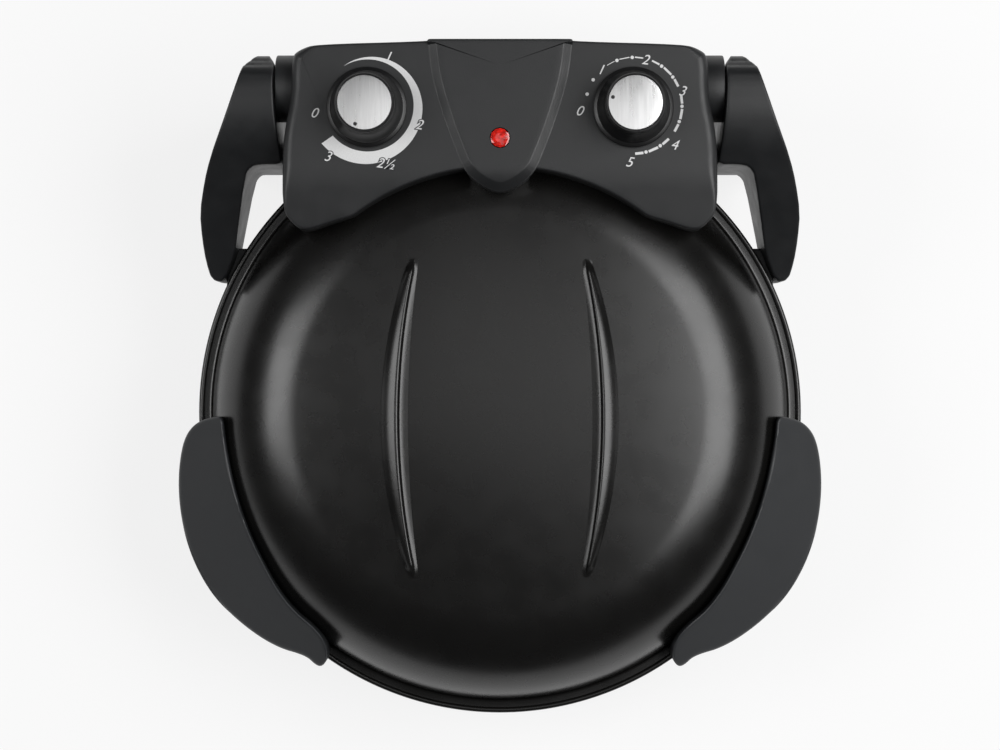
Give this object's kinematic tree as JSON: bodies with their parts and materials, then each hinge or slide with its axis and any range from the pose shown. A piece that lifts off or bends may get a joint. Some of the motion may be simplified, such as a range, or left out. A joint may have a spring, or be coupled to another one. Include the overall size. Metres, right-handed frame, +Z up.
{
  "type": "electric pizza maker",
  "caption": "Round countertop pizza oven: hinged domed steel lid with rear control housing, thermostat and timer knobs, baking stone between ring heating elements, side arms and grips.",
  "frame": {"origin": "middle of the bounding box, at the table", "axes": "+Z up, -Y towards the user (the front handles), +Y towards the hinge, +X to the right seen from the front"},
  "size_m": [0.3686, 0.3774, 0.1783],
  "materials": {
    "black_paint": "satin",
    "lid_paint": "satin, slightly warm dark grey",
    "bright_steel": "aluminised sheet",
    "element": "heat-darkened steel tube",
    "stone": "matt, fine grained",
    "arm_plastic": "fine grain",
    "handle_plastic": "fine grain",
    "housing_plastic": "fine grain",
    "knob_plastic": "satin",
    "cap_metal": "brushed",
    "zinc": "zinc plated",
    "brass": "plain",
    "rubber": "matt",
    "ceramic": "white steatite",
    "control_metal": "stamped sheet",
    "lens": "clear red"
  },
  "bodies": {
    "base": {"base_pan": "black_paint", "base_reflector": "bright_steel", "reflector_posts": "bright_steel", "lower_element": "element", "lower_element_clips": "bright_steel", "baking_stone": "stone", "left_arm": "arm_plastic", "right_arm": "arm_plastic", "arm_screws": "zinc", "left_hinge_pin": "zinc", "right_hinge_pin": "zinc", "left_lower_handle": "handle_plastic", "right_lower_handle": "handle_plastic", "lower_handle_screws": "zinc", "front_left_foot": "rubber", "front_right_foot": "rubber", "rear_left_foot": "rubber", "rear_right_foot": "rubber", "base_terminal_block": "ceramic", "terminal_cover": "black_paint"},
    "lid": {"lid_shell": "lid_paint", "lid_reflector": "bright_steel", "lid_posts": "bright_steel", "upper_element": "element", "upper_element_clips": "bright_steel", "left_upper_handle": "handle_plastic", "right_upper_handle": "handle_plastic", "upper_handle_screws": "zinc", "control_housing": "housing_plastic", "housing_cover": "housing_plastic", "housing_screws": "zinc", "left_hinge_bush": "brass", "right_hinge_bush": "brass", "thermostat_body": "control_metal", "thermostat_nut": "zinc", "sensing_bulb": "brass", "timer_body": "control_metal", "timer_nut": "zinc", "timer_bell": "zinc", "bell_screw": "zinc", "lamp_lens": "lens", "lamp_holder": "ceramic", "lid_terminal_block": "ceramic", "cord_inlet_bush": "rubber"},
    "thermostat_knob": {"thermostat_knob": "knob_plastic", "thermostat_cap": "cap_metal", "thermostat_shaft": "zinc"},
    "timer_knob": {"timer_knob": "knob_plastic", "timer_cap": "cap_metal", "timer_shaft": "zinc"}
  },
  "joints": [
    {"name": "lid_hinge", "type": "hinge", "parent": "base", "child": "lid", "pos_m": [0, 0.1651, 0.1255], "axis": [-1, 0, 0], "range_deg": [0, 100]},
    {"name": "thermostat_turn", "type": "hinge", "parent": "lid", "child": "thermostat_knob", "pos_m": [-0.0728, 0.1514, 0.154], "axis": [0, 0, 1], "range_deg": [-20, 294]},
    {"name": "timer_turn", "type": "hinge", "parent": "lid", "child": "timer_knob", "pos_m": [0.0728, 0.1514, 0.154], "axis": [0, 0, 1], "range_deg": [-258, 0]}
  ]
}
